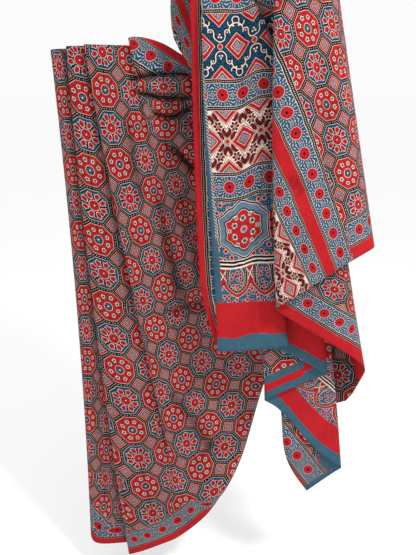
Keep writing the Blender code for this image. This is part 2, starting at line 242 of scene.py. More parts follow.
# Creases pressed in by hand: soft troughs (deep is plus, back from the viewer) and ridges (minus), each
# from one place to another in x and z, half as wide as given, fading out at its ends.
creaseColumns = ("fromX", "fromZ", "toX", "toZ", "halfWide", "deep", "bend")
creases = {
    ("second edge", "behind front"): {
        "under the flap":    (-0.240, -0.226, -0.098, -0.212, 0.0050, 0.021, 0.010),
        "second in gather":  (-0.230, -0.230, -0.098, -0.249, 0.0045, 0.019, -0.010),
        "third in gather":   (-0.196, -0.262, -0.098, -0.256, 0.0045, 0.021, -0.026),
        "fourth in gather":  (-0.162, -0.327, -0.096, -0.392, 0.0060, 0.018, 0.004),
        "fifth in gather":   (-0.120, -0.300, -0.096, -0.288, 0.0060, 0.008, -0.004),
        "flap ridge":        (-0.215, -0.196, -0.100, -0.224, 0.0140, -0.010, 0.006),
        "first ridge":       (-0.210, -0.226, -0.094, -0.234, 0.0100, -0.012, -0.004),
        "second ridge":      (-0.185, -0.262, -0.094, -0.257, 0.0080, -0.009, -0.010),
        "third ridge":       (-0.190, -0.300, -0.094, -0.320, 0.0170, -0.009, -0.008),
        "fall from gather":  (-0.226, -0.240, -0.200, -0.460, 0.0080, 0.010, -0.006),
        "long soft trough":  (-0.180, -0.360, -0.115, -0.660, 0.0130, 0.008, -0.010),
        "long soft ridge":   (-0.150, -0.380, -0.080, -0.640, 0.0140, -0.008, -0.006),
        "lump trough":       (-0.190, -0.678, -0.060, -0.650, 0.0100, 0.009, 0.006),
        "lump ridge":        (-0.195, -0.632, -0.060, -0.606, 0.0150, -0.008, 0.004),
        "low trough":        (-0.190, -0.800, -0.060, -1.000, 0.0160, 0.008, 0.010),
        "low ridge":         (-0.150, -0.760, -0.010, -0.960, 0.0180, -0.006, 0.012),
        "hem trough":        (-0.120, -1.040, -0.040, -0.940, 0.0120, 0.004, 0.006),
    },
    ("first edge", "second turn"): {
        "down the second":   (-0.262, -0.300, -0.232, -0.700, 0.0100, 0.003, 0.004),
        "to its hem":        (-0.228, -0.900, -0.190, -1.180, 0.0110, 0.004, -0.004),
    },
    ("left fold front", "first turn"): {
        "down the first":    (-0.335, -0.700, -0.300, -1.180, 0.0110, 0.004, 0.004),
    },
    ("right fold front", "tuck front"): {
        "kink in the stripe": (0.052, -0.372, 0.088, -0.404, 0.0080, 0.005, 0.0),
        "stripe ridge":      (0.044, -0.250, 0.078, -0.390, 0.0110, -0.003, 0.003),
        "front trough":      (0.096, -0.100, 0.130, -0.420, 0.0140, 0.004, 0.006),
        "front ridge":       (0.066, -0.060, 0.104, -0.420, 0.0150, -0.004, 0.004),
        "low front trough":  (0.070, -0.420, 0.100, -0.540, 0.0100, 0.003, 0.0),
    },
    ("tuck back", "second fold front"): {
        "under ridge":       (0.080, -0.560, 0.170, -0.640, 0.0120, -0.003, 0.0),
        "under trough":      (0.110, -0.560, 0.200, -0.620, 0.0100, 0.003, 0.0),
    },
}


def creased(points, shade, table):
    # y of each point, pushed back by each crease: deep * a bell across it * a smooth fade along it;
    # the troughs also add painted shade, which darkens the print down in them
    for row in table.values():
        c = dict(zip(creaseColumns, row))
        start, end = np.array([c["fromX"], c["fromZ"]]), np.array([c["toX"], c["toZ"]])
        length = np.linalg.norm(end - start)
        way = (end - start) / length
        q = (points[..., [0, 2]] - start) @ way / length
        side = (points[..., [0, 2]] - start) @ np.array([-way[1], way[0]])
        side = side - c["bend"] * 4 * q * (1 - q)
        fade = np.clip(q / 0.35, 0, 1) * np.clip((1.05 - q) / 0.2, 0, 1)
        bell = np.exp(-(side / c["halfWide"]) ** 2) * fade ** 2 * (3 - 2 * fade)
        points[..., 1] += c["deep"] * bell
        shade += max(0, min(1, c["deep"] / cloth["darkTrough"])) * bell ** 2


# painted shade that darkens the print for the folds: the fall, the inside of the lower right fold,
# the creases, and where a pleat's edge lies on the panel under it
paintedShade = np.zeros(middle.shape[:2])
paintedShade[:rowOf["behind front"]] = cloth["fallShade"]
paintedShade[rowOf["second fold back"]:rowOf["lift right"]] = cloth["insideShade"]
for (first, last), table in creases.items():
    part = np.s_[rowOf[first] + 1:rowOf[last]]
    creased(middle[part], paintedShade[part], table)
# painted shade on the panel under each pleat, beside the edge that lies over it
pleats = {
    "first edge front": ("left fold front", "first turn"),
    "second edge front": ("first edge", "second turn"),
}
for over, (first, last) in pleats.items():
    under, edge = middle[rowOf[first]:rowOf[last] + 1], middle[rowOf[over]]
    fromEdge = under[..., 0] - np.interp(-under[..., 2], -edge[:, 2], edge[:, 0])
    paintedShade[rowOf[first]:rowOf[last] + 1] += np.exp(-(np.minimum(fromEdge, 0) / cloth["pleatShade"]) ** 2)
endCreases = {
    "wave trough":   (-0.012, 0.020, -0.014, -0.400, 0.0120, 0.005, 0.0),
    "wave ridge":    (0.018, 0.020, 0.020, -0.440, 0.0140, -0.004, 0.0),
    "left ridge":    (-0.046, 0.020, -0.038, -0.600, 0.0150, -0.003, 0.0),
    "low wave":      (0.010, -0.420, 0.004, -0.700, 0.0140, 0.003, 0.0),
    "hem wave":      (0.040, -0.560, 0.046, -0.705, 0.0110, -0.003, 0.0),
}


def meshOf(name, points, faces):
    mesh = bpy.data.meshes.new(name)
    mesh.from_pydata(points.reshape(-1, 3).tolist(), [], faces.tolist())
    mesh.polygons.foreach_set("use_smooth", [True] * len(mesh.polygons))
    mesh.update()
    thing = bpy.data.objects.new(name, mesh)
    bpy.context.scene.collection.objects.link(thing)
    return thing


def grid(m, n):
    at = np.arange(m * n).reshape(m, n)
    return np.stack([at[:-1, :-1], at[1:, :-1], at[1:, 1:], at[:-1, 1:]], axis=-1).reshape(-1, 4)


# where the print lies on the cloth
# Three maps carry it, all in metres: "field" for the octagons, "band" (x away from the cloth's end,
# y along it) for the end bands, and "edge" (x in from the long edge, y along it) for the long border.
layout = {
    "pitch": 0.067,           # one octagon
    "rosettes": 0.0362,       # one rosette of a band to the next
    "lattices": 0.155,        # one lattice to the next
    "medallions": 0.105,      # one medallion to the next
    "fieldStart": 0.071,      # in from the long edge
    "hemWidth": 0.0212,       # the plain red hem along it
    "edgeRow": 0.046,         # in from it to the middle of its rosettes
    "bandsEnd": 0.71,         # in from the cloth's end
    "lastRow": 0.685,         # in from it to the middle of the last rosettes
    "firstLattice": 0.3685,   # and of the first lattice
    "tealStrip": -0.0755,     # along the end panel, where the plain strip at its left stops
}
# Octagon centres read off the picture: panel, column of octagons, then row from the top, x and z.
octagons = {
    "first": {0: ((0, -0.355, -0.194), (7, -0.327, -0.654), (9, -0.331, -0.789), (12, -0.346, -0.997)),
              1: ((11, -0.296, -0.926), (12, -0.295, -0.997), (13, -0.303, -1.070), (14, -0.308, -1.138)),
              2: ((0, -0.297, -0.194), (7, -0.268, -0.654))},
    "second": {-4: ((0, -0.314, -0.188), (4, -0.294, -0.448), (8, -0.270, -0.730), (11, -0.233, -0.941),
                    (14, -0.197, -1.131)),
               -3: ((0, -0.256, -0.188), (4, -0.234, -0.448), (8, -0.208, -0.730), (11, -0.174, -0.925),
                    (14, -0.140, -1.110))},
    "third": {-4: ((12, -0.221, -1.001), (14, -0.196, -1.121)),
              -3: ((11, -0.179, -0.925), (13, -0.144, -1.049)),
              -2: ((10, -0.172, -0.841), (12, -0.119, -0.959), (14, -0.065, -1.076)),
              -1: ((5, -0.246, -0.512), (7, -0.220, -0.648), (9, -0.158, -0.758), (11, -0.104, -0.869),
                   (13, -0.035, -0.982)),
              0: ((0, -0.270, -0.176), (2, -0.254, -0.303), (4, -0.223, -0.434), (6, -0.188, -0.562),
                  (8, -0.143, -0.668), (10, -0.094, -0.758), (12, -0.027, -0.869)),
              1: ((0, -0.222, -0.178), (2, -0.203, -0.300), (4, -0.177, -0.425), (6, -0.138, -0.550)),
              2: ((3, -0.143, -0.356), (4, -0.128, -0.409), (6, -0.096, -0.520)),
              3: ((3, -0.117, -0.350),)},
    "front": {0: ((9, 0.080, -0.141), (11, 0.118, -0.259), (12, 0.139, -0.316), (13, 0.159, -0.371),
                  (14, 0.178, -0.424)),
              -1: ((9, 0.040, -0.150), (11, 0.074, -0.271), (13, 0.110, -0.383)),
              1: ((9, 0.120, -0.133), (12, 0.186, -0.304))},
}
# The gather is a few pleats, each with its own piece of the pattern: the octagon at its middle
# (column, row), where it is, how wide and high one octagon comes out there, and x at its left end.
gatherColumns = ("column", "row", "x", "z", "wide", "high", "left")
gathers = {
    "upper": (0, 0, -0.156, -0.231, 0.060, 0.046, -0.222),
    "middle": (0, 1, -0.151, -0.264, 0.058, 0.040, -0.222),
    "lower": (2, 1, -0.155, -0.301, 0.052, 0.054, -0.181),
}
gatherX = (-0.22, -0.189, -0.166, -0.150, -0.137, -0.124, -0.105)
gatherLines = {               # z at gatherX of the crease under each
    "flap": (-0.222, -0.214, -0.211, -0.211, -0.212, -0.212, -0.212),
    "upper": (-0.228, -0.249, -0.254, -0.255, -0.255, -0.254, -0.249),
    "middle": (-0.228, -0.256, -0.279, -0.287, -0.291, -0.282, -0.256),
    "lower": (-0.228, -0.256, -0.326, -0.338, -0.343, -0.362, -0.384),
}
# The flap over them: x at its left end, one rosette of its border, and the way the border slants.
flap = {"left": -0.222, "rosette": (-0.177, -0.174), "slant": math.radians(31.5)}
hemRosettes = ((-0.245, -1.184), (-0.214, -1.181), (-0.176, -1.174), (-0.139, -1.154), (-0.101, -1.134))
leftRosettes = ((-0.312, -1.186), (-0.278, -1.190))
# Ropes on the turned front: how far across the bands each is from the field's rope, and x and z along it.
frontRopes = {
    0.0: ((0.060, -0.236), (0.108, -0.352), (0.174, -0.513), (0.041, -0.196)),
    0.043: ((0.038, -0.291), (0.082, -0.374), (0.100, -0.433), (0.132, -0.529)),
    0.075: ((0.036, -0.354), (0.068, -0.406), (0.097, -0.484), (0.122, -0.538)),
    0.118: ((0.039, -0.445), (0.062, -0.479), (0.087, -0.524), (0.107, -0.558)),
}
# Where the block didn't land evenly: places measured in the drape, then the same on the flat cloth.
fits = {
    "fall border": ((0, 0.013, 0.048, 0.053, 2), (0, 0.021, 0.064, 0.071, 2.02)),
    "flap border": ((-0.03, 0, 0.029, 0.06), (-0.05, 0, 0.0215, 0.05)),
    "front bands": ((-0.6, 0, 0.043, 0.075, 0.118, 0.3), (-0.6, 0, 0.043, 0.084, 0.127, 0.309)),
    "front border": ((-0.02, 0, 0.0188, 0.039, 0.0645, 0.081, 0.3),
                     (-0.02, 0, 0.0245, 0.046, 0.071, 0.09, 0.34)),
    "under rosettes": ((-0.5, 0.3876, 0.4245, 0.459, 0.4926, 0.520, 1.2),
                       (-0.8695, 0.0181, 0.0543, 0.0905, 0.1267, 0.1629, 0.843)),
    "under border": ((-0.1, 0, 0.064, 0.087, 0.130, 0.6), (-0.1, 0, 0.071, 0.1045, 0.1715, 0.68)),
    "strip bands": ((0, 0.021, 0.066, 1), (0, 0.021, 0.085, 1.019)),
    "folded hem": ((0, 0.016, 0.032, 0.047, 0.4), (-0.003, -0.021, -0.042, -0.063, -0.42)),
    "end border": ((0, 0.012, 0.018, 0.040, 0.2), (0.009, 0.021, 0.0275, 0.036, 0.2)),
}
# The end panel's bands: how far each is from the cloth's end, and its z at the panel's left and right.
bandColumns = ("fromEnd", "leftZ", "rightZ")
bandMarks = {
    "end": (0.0, -0.702, -0.692),
    "red": (0.021, -0.680, -0.670),
    "arches": (0.085, -0.612, -0.609),
    "lines": (0.147, -0.546, -0.535),
    "medallions": (0.160, -0.532, -0.521),
    "first rope": (0.2695, -0.423, -0.407),
    "second rope": (0.3125, -0.378, -0.357),
    "third rope": (0.4245, -0.267, -0.246),
    "fourth rope": (0.4675, -0.222, -0.204),
    "fifth rope": (0.5795, -0.111, -0.097),
    "sixth rope": (0.6225, -0.066, -0.050),
    "field": (0.71, 0.022, 0.038),
}


def fitted(marks, values, order):
    # least squares: value = a polynomial in x and z up to this order, as a function of (x, z)
    powers = [(a, b) for a in range(order + 1) for b in range(order + 1 - a)]
    if order == 1:
        powers.append((1, 1))

    def basis(x, z):
        return np.stack([(x + 0.1) ** a * (z + 0.5) ** b for a, b in powers], axis=-1)
    marks = np.array(marks, float)
    factors = np.linalg.lstsq(basis(marks[:, 0], marks[:, 1]), np.array(values, float), rcond=None)[0]
    return lambda x, z: basis(x, z) @ factors


def fieldFit(panel, order):
    # the field map of a panel: column and row of the octagon at (x, z), in metres of flat cloth
    rows = [(x, z, column, row) for column, marks in octagons[panel].items() for row, x, z in marks]
    pitch, start = layout["pitch"], layout["fieldStart"]
    across = fitted([r[:2] for r in rows], [(r[2] + 0.5) * pitch for r in rows], order)
    down = fitted([r[:2] for r in rows], [start + (14.5 - r[3]) * pitch for r in rows], order)
    return lambda x, z: np.stack([across(x, z), down(x, z)], axis=-1)


def fromLine(points, line):
    # distance from each point to the nearest place on a line of points, and how far along that is
    a, step = line[:-1], np.diff(line, axis=0)
    length = np.maximum(np.linalg.norm(step, axis=1), 1e-9)
    start = np.concatenate([[0], np.cumsum(length)[:-1]])
    away = points[..., None, :] - a
    part = (away * step).sum(-1) / length ** 2
    part[..., 1:] = np.maximum(part[..., 1:], 0)        # both ends run on straight
    part[..., :-1] = np.minimum(part[..., :-1], 1)
    gap = np.linalg.norm(away - part[..., None] * step, axis=-1)
    nearest = gap.argmin(-1)[..., None]
    run = start[nearest] + np.take_along_axis(part, nearest, -1) * length[nearest]
    return np.take_along_axis(gap, nearest, -1)[..., 0], run[..., 0]


def unrolledX(points, reference, way=1):
    # x at the reference row, plus or minus the length of cloth from there round the folds
    step = np.linalg.norm(np.diff(points[..., :2], axis=0), axis=-1)
    run = np.concatenate([np.zeros((1, points.shape[1])), np.cumsum(step, axis=0)])
    return points[reference, :, 0] + way * (run - run[reference])


def fromHem(points):
    # length of cloth from the last column, along each row
    step = np.linalg.norm(np.diff(points, axis=1), axis=-1)[:, ::-1]
    run = np.concatenate([np.zeros((len(points), 1)), np.cumsum(step, axis=1)], axis=1)
    return run[:, ::-1]


def runAlong(points):
    # length of cloth from the first row, down each column
    step = np.linalg.norm(np.diff(points, axis=0), axis=-1)
    return np.concatenate([np.zeros((1, points.shape[1])), np.cumsum(step, axis=0)])


def smooth(value, low, high):
    f = np.clip((value - low) / (high - low), 0, 1)
    return f * f * (3 - 2 * f)


def flat(value, name):
    return np.interp(value, *fits[name])


def slanted(x, z, away, at=(0, 0)):
    # how far (x, z) lies from the slanting line through a place, and how far along it; away is the
    # direction straight off the line
    dx, dz = x - at[0], z - at[1]
    return dx * away[0] + dz * away[1], dx * away[1] - dz * away[0]


endNames = []
for name, row in reversed(list(endFolds.items())):
    endNames += [name + " before", name, name + " after"] if row[0] else [name]
columnOf = dict(zip(endNames, columnAt.tolist()))
# the end panel's creases, whose troughs add painted shade to the print
part = np.s_[rowOf["end top"]:, columnOf["panel edge before"] + 1:columnOf["pleat edge after"]]
creased(middle[part], paintedShade[part], endCreases)
lastRow, lastColumn = middle.shape[0] - 1, middle.shape[1] - 1
maps = {name: np.zeros((lastRow, lastColumn, 4, 2)) for name in ("field", "band", "edge")}


def corners(values):
    # a value for each vertex of a grid, as one for each corner of its quads
    return np.stack([values[:-1, :-1], values[1:, :-1], values[1:, 1:], values[:-1, 1:]], axis=2)


def lay(field, band, edge, rows, columns=(0, lastColumn)):
    for name, values in (("field", field), ("band", band), ("edge", edge)):
        maps[name][rows[0]:rows[1], columns[0]:columns[1]] = corners(values)


def pair(a, b):
    return np.stack(np.broadcast_arrays(a, b), axis=-1).astype(float)


noBand = 2.0                  # so far in from the end that only the field shows


def stretch(first, last):
    # the rows between two fold lines, their points, and x and z of these
    rows = (rowOf[first], rowOf[last])
    points = middle[rows[0]:rows[1] + 1]
    return rows, points, points[..., 0], points[..., 2]


def layPlain(first, last):
    rows, points, x, z = stretch(first, last)
    u, v = runAlong(points), fromHem(points)
    lay(pair(u, v), pair(noBand, u), pair(v, u), rows)


def layPanel(panel, first, last, reference, order, hemRows, rosettes):
    rows, points, seenX, z = stretch(first, last)
    start = rowOf[reference] - rows[0]
    x = unrolledX(points, start)
    x[start:] = seenX[start:]
    hem = middle[rowOf[hemRows[0]]:rowOf[hemRows[1]] + 1, -1]
    away, run = fromLine(points, hem)
    # rosettes read off the picture hold the border in place along the hem
    at = fromLine(np.array([(rx, np.interp(rx, hem[:, 0], hem[:, 1]), rz) for rx, rz in rosettes]), hem)[1]
    flatAt = np.arange(len(at)) * layout["rosettes"]
    along = np.interp(run, [at[0] - 1, *at, at[-1] + 1], [-1.0, *flatAt, flatAt[-1] + 1])
    inwards = flat(away, "fall border")
    if panel == "third":      # the border rolls under towards the right
        inwards = inwards + 0.067 * smooth(run, at[-1] + 0.012, at[-1] + 0.075)
    lay(fieldFit(panel, order)(x, z), pair(noBand, run), pair(inwards, along), rows)


longHem = ("first edge", "behind front")
layPlain("first end", "left fold")
layPanel("first", "left fold", "first turn", "left panel", 2, ("left fold", "first turn"), leftRosettes)
layPanel("second", "first turn", "second turn", "second panel", 2, longHem, hemRosettes)
layPanel("third", "second turn", "behind front", "third panel", 3, longHem, hemRosettes)
layPlain("behind front", "right fold back")

# the gather's pleats and the flap over them
rows, points, _, _ = stretch("third turn", "behind front")
block = corners(points)
x, z = block[..., 0].mean(axis=2), block[..., 2].mean(axis=2)
field, edge = maps["field"][rows[0]:rows[1]], maps["edge"][rows[0]:rows[1]]
for (name, row), upperLine in zip(gathers.items(), gatherLines.values()):
    g = dict(zip(gatherColumns, row))
    top, bottom = np.interp(x, gatherX, upperLine), np.interp(x, gatherX, gatherLines[name])
    chosen = (x > g["left"]) & (z < top) & (z >= bottom)
    u = (g["column"] + 0.5 + (block[..., 0] - g["x"]) / g["wide"]) * layout["pitch"]
    v = layout["fieldStart"] + (14.5 - g["row"] + (block[..., 2] - g["z"]) / g["high"]) * layout["pitch"]
    field[chosen] = pair(u, v)[chosen]
chosen = (x > flap["left"]) & (z >= np.interp(x, gatherX, gatherLines["flap"]))
upwards = (math.sin(flap["slant"]), math.cos(flap["slant"]))
away, along = slanted(block[..., 0], block[..., 2], upwards, flap["rosette"])
inwards = layout["edgeRow"] + flat(-away, "flap border")
edge[chosen] = pair(inwards, along)[chosen]
field[chosen] = pair(along - 0.010, inwards)[chosen]

# the turned front: its own bands run down beside the field
rows, points, x, z = stretch("right fold back", "tuck")
x = unrolledX(points, rowOf["front right"] - rows[0], -1)
ropes = np.array([(away, *place) for away, places in frontRopes.items() for place in places])
sideways = fitted(ropes[:, 1:], ropes[:, 0], 2)(np.clip(x, -0.02, 0.24), z)
upwards = slanted(x, z, (-0.381, 0.925), (0.174, -0.513))[0]
along = upwards - 0.0288 + 0.107 * sideways + 40 * layout["rosettes"]
# the long edge's border stops at the field's rope
hemward = flat(upwards, "front border") + 12 * np.maximum(0, sideways + 0.002)
band = pair(0.7065 - flat(sideways, "front bands"), along)
lay(fieldFit("front", 1)(x, z), band, pair(hemward, sideways), rows)

# under it: the same cloth turned back, its border along the slanting hem
rows, points, x, z = stretch("tuck", "second fold back")
away, along = slanted(unrolledX(points, rowOf["under right"] - rows[0]), z, (0.529, 0.849))
along, inwards = flat(along, "under rosettes"), flat(away + 0.5, "under border")
lay(pair(along - 0.031, inwards), pair(noBand, along), pair(inwards, along), rows)

# the part drawn up behind
rows, points, x, z = stretch("second fold back", "strip right")
slant = math.radians(49)
away, run = slanted(x, z, (math.sin(slant), math.cos(slant)), (0.157, -0.767))
lay(pair(run, 0.5 + away), pair(noBand, run), pair(noBand, z), rows)
rows, points, x, z = stretch("strip right", "end top")
away = 0.643 + 2.5 * (x + 0.125 + 0.42 * (z + 0.085))
lay(pair(z, away), pair(away, z + 12 * layout["rosettes"]), pair(noBand, z), rows)

# the end panel
rows = (rowOf["end top"], lastRow)
points = middle[rows[0]:rows[1] + 1]
x, z = points[..., 0], points[..., 2]
hem = points[-1]
# fall is the length of cloth up from the hem, times the cosine of the hem's own slant
slope = np.gradient(hem[:, 2]) / np.maximum(np.abs(np.gradient(hem[:, 0])), 1e-4)
lean = 1 / np.sqrt(1 + np.clip(slope, -1.0, 1.0) ** 2)
lean = np.convolve(np.pad(lean, 8, mode="edge"), np.ones(17) / 17, mode="valid")
fall = np.cumsum(np.linalg.norm(np.diff(points[::-1], axis=0), axis=-1), axis=0)
fall = np.concatenate([np.zeros((1, points.shape[1])), fall])[::-1] * lean
# the front's bands rise in a wave from its left to its right
marks = dict(zip(bandColumns, np.array(list(bandMarks.values())).T))
rising = smooth(x, -0.03, 0.02)
left, right = (np.interp(z, marks[name], marks["fromEnd"]) for name in ("leftZ", "rightZ"))
waved = np.where(z > 0.03, 0.70, left * (1 - rising) + right * rising)


def layEnd(first, last, band, edge, field=None):
    columns = (columnOf[first], columnOf[last])
    part = np.s_[:, columns[0]:columns[1] + 1]
    if field is None:
        field = pair(x, z)
    lay(field[part], band[part], edge[part], rows, columns)


stitched = pair(waved, 1.05 * (x + 0.084 * (waved - layout["firstLattice"])))
nowhere = pair(noBand, z)
# the corner behind: its border slants with its own edge
away, run = slanted(x, z, (0.803, 0.596))
inwards = away + 0.5292
down = slanted(x, z, (-0.625, 0.781))[0] + 0.8876
tealDepth = np.where(inwards > layout["fieldStart"], 0.050, 0.012)
cornerBand = pair(np.where(down < tealDepth, -0.010, -0.070 - down), x)
cornerEdge = pair(inwards, 0.945 * (run - 0.8293))
layEnd("other long edge", "corner edge", cornerBand, cornerEdge, pair(inwards, down))
along = slanted(x, z, (0.713, 0.70))[1] - 0.2305
layEnd("corner edge", "strip edge", pair(flat(fall, "strip bands"), along), nowhere)
folded = flat(z - hem[:, 2], "folded hem")
layEnd("strip edge", "strip layer", pair(folded, x), nowhere, pair(x - 0.045, z))
layEnd("strip layer", "inner turn", pair(fall, x), nowhere)
layEnd("inner turn", "panel edge", stitched, nowhere)
layEnd("panel edge", "pleat under", stitched, nowhere)
side = np.linalg.norm(points[:, -1:] - points, axis=-1)
layEnd("pleat under", "long edge", stitched, pair(flat(side, "end border"), z))
print("print laid out")


# the print itself, drawn from the three maps
def linear(r, g, b):
    # a colour as seen on a screen, 0 to 255, made linear
    return tuple(((c / 255 + 0.055) / 1.055) ** 2.4 if c > 10 else c / 3300 for c in (r, g, b)) + (1.0,)


dyes = {
    "red": linear(168, 28, 34),
    "deepRed": linear(112, 16, 23),
    "indigo": linear(24, 74, 100),
    "navy": linear(15, 33, 50),
    "teal": linear(54, 86, 103),
    "cream": linear(216, 194, 178),
    "black": linear(20, 17, 20),
    "rope": linear(44, 38, 42),
    "paleBlue": linear(92, 118, 136),
    "maroon": linear(84, 14, 22),
}


class Term:
    # a number that a material works out: sums and comparisons of Terms add Math nodes to its tree
    tree = None

    def __init__(self, socket):
        self.socket = socket

    def __add__(self, other):
        return maths("ADD", self, other)

    def __sub__(self, other):
        return maths("SUBTRACT", self, other)

    def __rsub__(self, other):
        return maths("SUBTRACT", other, self)

    def __mul__(self, other):
        return maths("MULTIPLY", self, other)

    def __truediv__(self, other):
        return maths("DIVIDE", self, other)

    def __abs__(self):
        return maths("ABSOLUTE", self)

    __radd__, __rmul__ = __add__, __mul__


def maths(operation, *values, clamp=False):
    node = Term.tree.nodes.new("ShaderNodeMath")
    node.operation, node.use_clamp = operation, clamp
    for slot, value in zip(node.inputs, values):
        if isinstance(value, Term):
            Term.tree.links.new(value.socket, slot)
        else:
            slot.default_value = value
    return Term(node.outputs[0])


def above(value, limit, soft):
    # 1 where the value is over the limit, 0 under it, with an edge this soft
    return maths("MULTIPLY_ADD", value, 1 / soft, 0.5 - limit / soft, clamp=True)


def below(value, limit, soft):
    return maths("MULTIPLY_ADD", value, -1 / soft, 0.5 + limit / soft, clamp=True)


def between(value, low, high, soft):
    return above(value, low, soft) * below(value, high, soft)


def size(x, y):
    return maths("SQRT", x * x + y * y)


def highest(a, b):
    return maths("MAXIMUM", a, b)


def lowest(a, b):
    return maths("MINIMUM", a, b)


def wave(value, count, limit=0.0, soft=0.8):
    # the raised half of so many sine waves
    return above(maths("SINE", value * count), limit, soft)


def nearest(value, pitch, middle=0.0):
    # distance to the nearest of a row of places, one every pitch, one of them at the middle
    return maths("PINGPONG", value + (40 * pitch - middle), pitch / 2)


def paint(under, over, mask):
    node = Term.tree.nodes.new("ShaderNodeMix")
    node.data_type = "RGBA"
    factor, a, b = node.inputs["Factor"], node.inputs[6], node.inputs[7]
    for slot, value in ((factor, mask.socket), (a, under), (b, over)):
        if isinstance(value, tuple):
            slot.default_value = value
        else:
            Term.tree.links.new(value, slot)
    return node.outputs[2]


def layers(ground, *coats):
    # coats of (mask, dye) over a ground
    for mask, dye in coats:
        ground = paint(ground, dyes[dye] if isinstance(dye, str) else dye, mask)
    return ground


def discs(value, soft, *steps):
    # coats for shapes one inside the other, each reaching out to its own limit
    return [(below(value, limit, soft), dye) for limit, dye in steps]


def polar(r, turn):
    return r * maths("COSINE", turn), r * maths("SINE", turn)


def rosetteBand(across, along):
    # a band of red rosettes on blue between two ropes; across is from its middle line
    lx = nearest(along, layout["rosettes"])
    half = nearest(along, layout["rosettes"], layout["rosettes"] / 2)
    r = size(lx, across)
    turn = maths("ARCTAN2", across, lx)
    scallop = r - maths("COSINE", turn * 14.0) * 0.0004
    floret = size(half, across)
    rope = abs(abs(across) - 0.0215)
    dots = size(nearest(along, 0.0032), rope)
    return layers(
        dyes["indigo"],
        (between(r, 0.0124, 0.0158, 0.0006) * wave(turn, 20.0, 0.80, 0.4), "cream"),
        (between(r, 0.0172, 0.0220, 0.0006) * wave(turn, 24.0, 0.80, 0.4), "cream"),
        (below(floret, 0.0046, 0.0006), "indigo"),
        *discs(scallop, 0.0005, (0.0107, "cream"), (0.0100, "red")),
        (between(r, 0.0058, 0.0072, 0.0005) * wave(turn, 14.0, 0.3), "deepRed"),
        (below(r, 0.0024, 0.0005), "black"),
        *discs(floret, 0.0005, (0.0033, "cream"), (0.0026, "black"), (0.0008, "cream")),
        *discs(rope, 0.0004, (0.0038, "cream"), (0.0030, "black")),
        (below(dots, 0.0007, 0.0005), "cream"),
    )


def fieldPrint(u, v):
    # octagons in a square grid, red and blue by turns, with diamonds between their corners
    pitch, soft = layout["pitch"], 0.012
    cu, cv = u / pitch + 40.0, (v - layout["fieldStart"]) / pitch + 40.0
    lx, ly = maths("FRACT", cu) - 0.5, maths("FRACT", cv) - 0.5
    odd = maths("MODULO", maths("FLOOR", cu) + maths("FLOOR", cv), 2.0)
    ax, ay = abs(lx), abs(ly)
    o = highest(highest(ax, ay), (ax + ay) * 0.7071)
    diamond = 1.0 - (ax + ay)
    r, turn = size(lx, ly), maths("ARCTAN2", ly, lx)
    fromTwig = maths("PINGPONG", turn, math.pi / 8)
    fromPetal = math.pi / 8 - fromTwig                 # turned away from the nearest of eight petals
    (outP, sideP), (outT, sideT) = polar(r, fromPetal), polar(r, fromTwig)
    sideT = abs(sideT)
    petal = size((outP - 0.288) * 0.88, sideP)
    kite = petal + abs(sideP) * 0.18 - maths("COSINE", maths("ARCTAN2", sideP, outP - 0.288) * 5.0) * 0.006
    floret = size(outP - 0.290, sideP)
    five = maths("COSINE", maths("ARCTAN2", sideP, outP - 0.290) * 5.0)
    bud = size(outT - 0.350, sideT - 0.034)
    tip = size(outT - 0.372, sideT)
    ripple = r - maths("COSINE", turn * 16.0) * 0.006
    blue = layers(
        dyes["indigo"],
        (between(o, 0.400, 0.420, soft), "navy"),
        (below(sideT, 0.042, soft) * between(r, 0.165, 0.385, soft), "navy"),
        (below(bud, 0.013, soft), "cream"),
        *discs(kite, soft, (0.096, "cream"), (0.082, "red")),
        (below(petal, 0.022, soft), "deepRed"),
        *discs(ripple, soft, (0.160, "cream"), (0.148, "red")),
        (between(r, 0.092, 0.118, soft) * wave(turn, 16.0, -0.2), "deepRed"),
        *discs(r, soft, (0.052, "deepRed"), (0.022, "cream")),
    )
    red = layers(
        dyes["red"],
        (below(sideT, 0.008, soft) * between(r, 0.185, 0.345, soft), "deepRed"),
        (below(tip, 0.021, soft), "black"),
        *discs(floret - five * 0.010, soft, (0.080, "black"), (0.061, "cream")),
        (below(floret - five * 0.012, 0.036, soft), "black"),
        *discs(ripple, soft, (0.134, "cream"), (0.120, "navy")),
        (between(r, 0.050, 0.085, soft) * wave(turn, 8.0, 0.2), "paleBlue"),
        (below(r, 0.026, soft), "cream"),
    )
    frameDots = below(abs(o - 0.5), 0.009, soft) * wave(ax - ay, 2 * math.pi * 13, 0.5, 0.6)
    return layers(
        paint(blue, red, odd),
        (above(o, 0.434, soft), "cream"),
        (above(o, 0.445, soft), "black"),
        (frameDots, "cream"),
        *discs(diamond, soft, (0.220, "cream"), (0.208, "red"), (0.140, "cream"), (0.126, "rope"),
               (0.098, "paleBlue"), (0.048, "red"), (0.018, "cream")),
    )


def scattered(u, v, scale):
    # small flowers strewn about: distance from the nearest one, as a part of their spacing
    node = Term.tree.nodes.new("ShaderNodeTexVoronoi")
    node.voronoi_dimensions = "2D"
    node.inputs["Scale"].default_value = scale
    node.inputs["Randomness"].default_value = 0.55
    join = Term.tree.nodes.new("ShaderNodeCombineXYZ")
    Term.tree.links.new(u.socket, join.inputs[0])
    Term.tree.links.new(v.socket, join.inputs[1])
    Term.tree.links.new(join.outputs[0], node.inputs["Vector"])
    return Term(node.outputs["Distance"])


def flowers(ground, u, v, scale, least=0.32):
    d = scattered(u, v, scale)
    return layers(ground, (below(d, least + 0.05, 0.05), "cream"), (below(d, least, 0.05), "red"),
                  (below(d, 0.09, 0.06), "black"))


